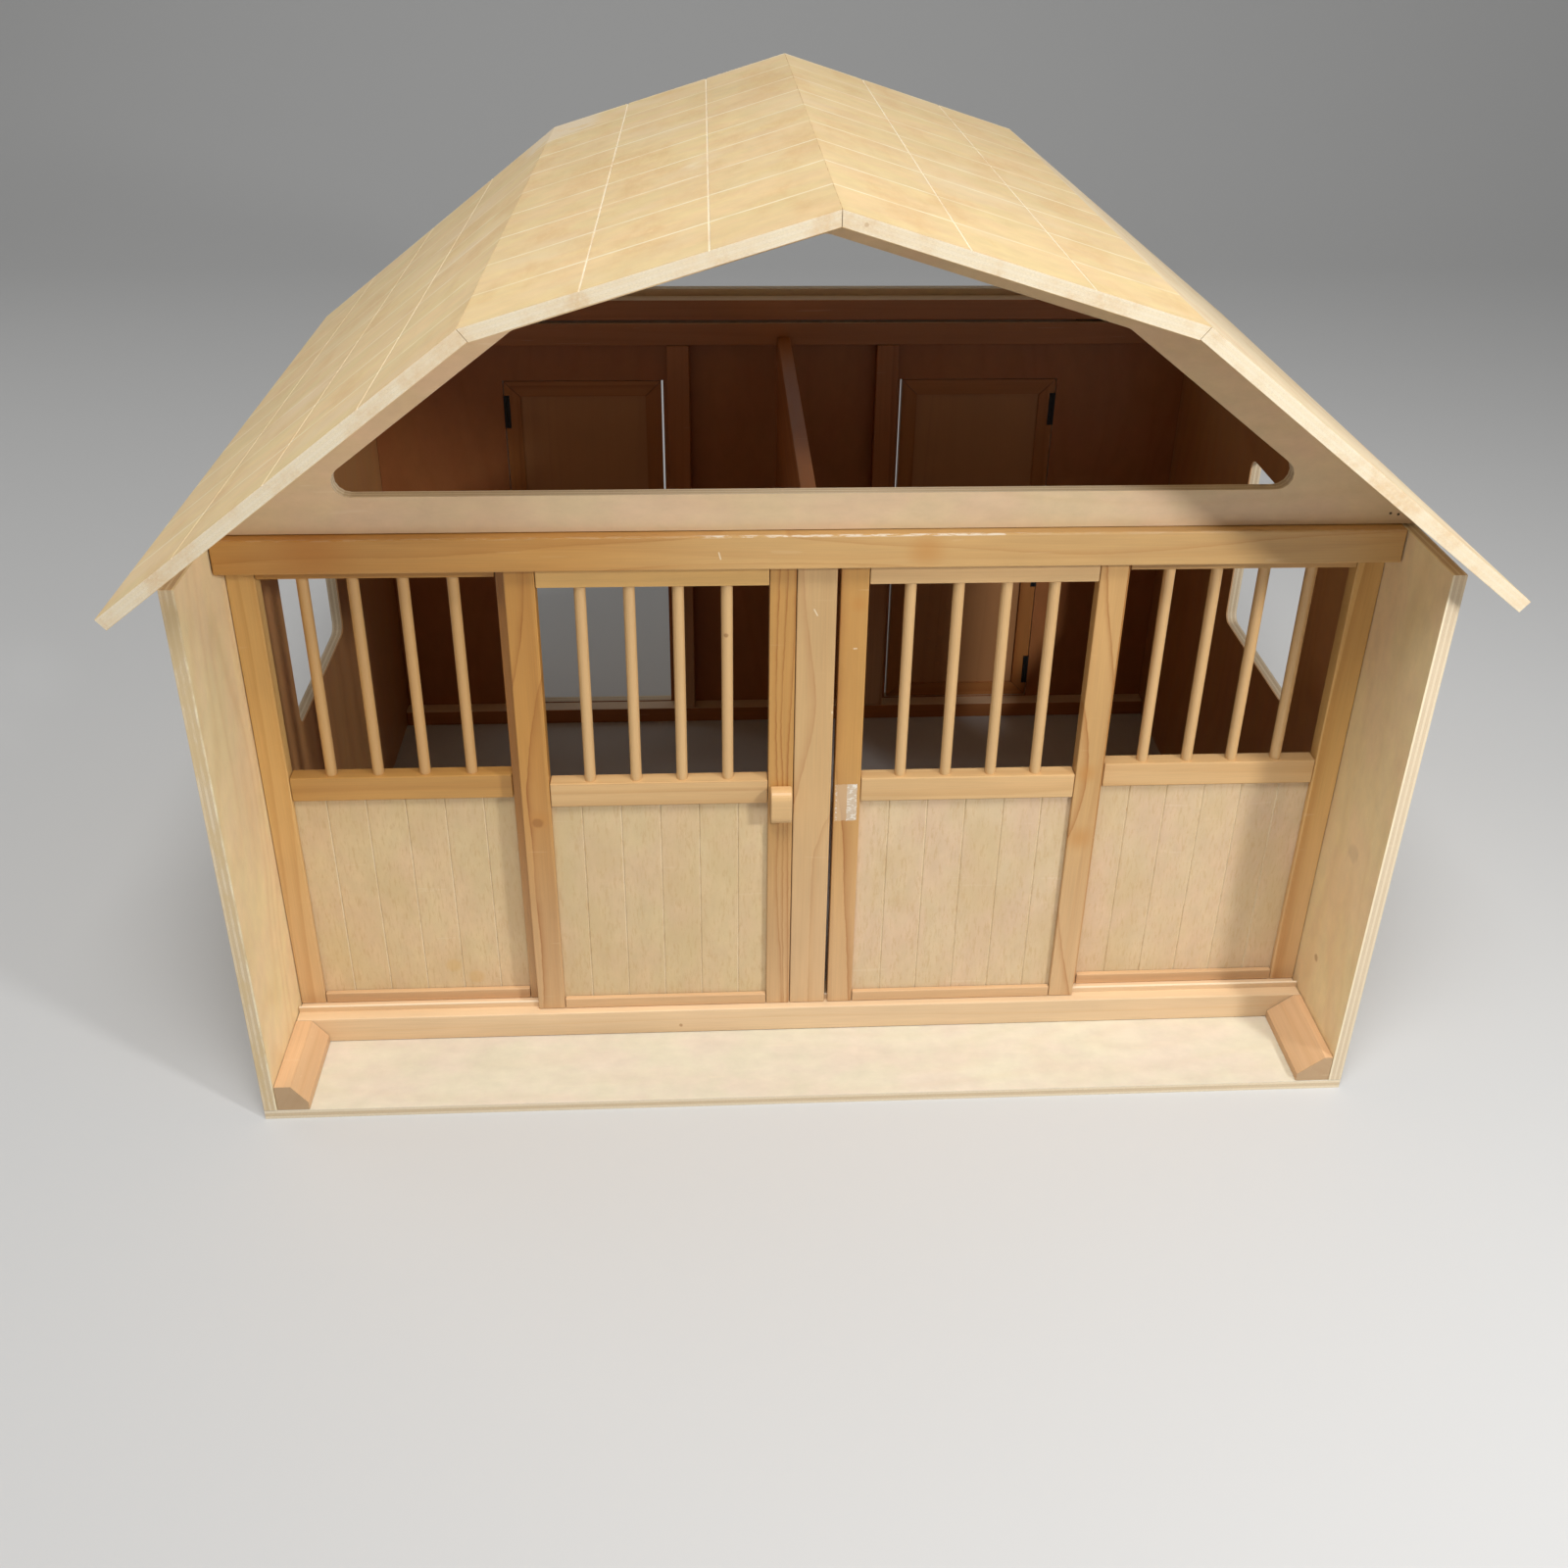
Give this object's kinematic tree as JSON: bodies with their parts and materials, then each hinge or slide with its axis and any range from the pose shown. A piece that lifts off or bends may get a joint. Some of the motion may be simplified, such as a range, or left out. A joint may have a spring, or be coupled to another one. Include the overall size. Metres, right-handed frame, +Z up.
{
  "type": "toy stable",
  "caption": "Wooden toy horse stable with barred and panelled fronts, sliding doors, split back doors, side windows and a gambrel roof that lifts on hinges.",
  "frame": {"origin": "under the middle of the whole, at table level", "axes": "+Z up, the open porch and the sliding doors face -Y, +X runs along the front from left to right"},
  "size_m": [0.66, 0.46, 0.5123],
  "materials": {
    "birch_plywood": "satin",
    "lacquered_pine": "satin",
    "grooved_panel_board": "matt",
    "black_hinge_plastic": "satin"
  },
  "bodies": {
    "carcass": {"base_apron": "birch_plywood", "front_sill": "lacquered_pine", "left_kerb": "lacquered_pine", "right_kerb": "lacquered_pine", "left_side_wall": "birch_plywood", "right_side_wall": "birch_plywood", "back_wall": "birch_plywood", "back_top_rail": "lacquered_pine", "back_bottom_rail": "lacquered_pine", "left_back_batten": "lacquered_pine", "right_back_batten": "lacquered_pine", "stall_partition": "lacquered_pine", "front_header": "lacquered_pine", "centre_post": "lacquered_pine", "left_stall_left_stile": "lacquered_pine", "left_stall_right_stile": "lacquered_pine", "left_stall_top_rail": "lacquered_pine", "left_stall_bar_rail": "lacquered_pine", "left_stall_bottom_rail": "lacquered_pine", "left_stall_panel": "grooved_panel_board", "right_stall_left_stile": "lacquered_pine", "right_stall_right_stile": "lacquered_pine", "right_stall_top_rail": "lacquered_pine", "right_stall_bar_rail": "lacquered_pine", "right_stall_bottom_rail": "lacquered_pine", "right_stall_panel": "grooved_panel_board"},
    "left_sliding_door": {"left_door_left_stile": "lacquered_pine", "left_door_right_stile": "lacquered_pine", "left_door_top_rail": "lacquered_pine", "left_door_bar_rail": "lacquered_pine", "left_door_bottom_rail": "lacquered_pine", "left_door_panel": "grooved_panel_board", "left_door_handle": "lacquered_pine"},
    "right_sliding_door": {"right_door_left_stile": "lacquered_pine", "right_door_right_stile": "lacquered_pine", "right_door_top_rail": "lacquered_pine", "right_door_bar_rail": "lacquered_pine", "right_door_bottom_rail": "lacquered_pine", "right_door_panel": "grooved_panel_board"},
    "left_back_lower_door": {"left_back_lower_leaf": "lacquered_pine", "left_back_lower_bottom_hinge": "black_hinge_plastic", "left_back_lower_top_hinge": "black_hinge_plastic"},
    "left_back_upper_door": {"left_back_upper_leaf": "lacquered_pine", "left_back_upper_bottom_hinge": "black_hinge_plastic", "left_back_upper_top_hinge": "black_hinge_plastic"},
    "right_back_lower_door": {"right_back_lower_leaf": "lacquered_pine", "right_back_lower_bottom_hinge": "black_hinge_plastic", "right_back_lower_top_hinge": "black_hinge_plastic"},
    "right_back_upper_door": {"right_back_upper_leaf": "lacquered_pine", "right_back_upper_bottom_hinge": "black_hinge_plastic", "right_back_upper_top_hinge": "black_hinge_plastic"},
    "roof_lid": {"front_gable": "birch_plywood", "rear_gable": "birch_plywood", "rear_gable_batten": "lacquered_pine", "roof_upper_left": "birch_plywood", "roof_lower_left": "birch_plywood", "roof_upper_right": "birch_plywood", "roof_lower_right": "birch_plywood", "left_lid_hinge": "black_hinge_plastic", "right_lid_hinge": "black_hinge_plastic"}
  },
  "joints": [
    {"name": "left_door_slide", "type": "slide", "parent": "carcass", "child": "left_sliding_door", "axis": [-1, 0, 0], "range_m": [0, 0.1408]},
    {"name": "right_door_slide", "type": "slide", "parent": "carcass", "child": "right_sliding_door", "axis": [1, 0, 0], "range_m": [-0.0015, 0.1393]},
    {"name": "left_back_lower_hinge", "type": "hinge", "parent": "carcass", "child": "left_back_lower_door", "pos_m": [-0.20255, 0.2183, 0.0815], "axis": [0, 0, 1], "range_deg": [-180, 0]},
    {"name": "left_back_upper_hinge", "type": "hinge", "parent": "carcass", "child": "left_back_upper_door", "pos_m": [-0.20255, 0.2183, 0.2187], "axis": [0, 0, 1], "range_deg": [0, 180]},
    {"name": "right_back_lower_hinge", "type": "hinge", "parent": "carcass", "child": "right_back_lower_door", "pos_m": [0.20255, 0.2183, 0.0815], "axis": [0, 0, -1], "range_deg": [0, 180]},
    {"name": "right_back_upper_hinge", "type": "hinge", "parent": "carcass", "child": "right_back_upper_door", "pos_m": [0.20255, 0.2183, 0.2187], "axis": [0, 0, -1], "range_deg": [0, 180]},
    {"name": "roof_lid_hinge", "type": "hinge", "parent": "carcass", "child": "roof_lid", "pos_m": [0, 0.2183, 0.33505], "axis": [-1, 0, 0], "range_deg": [0, 100]}
  ]
}
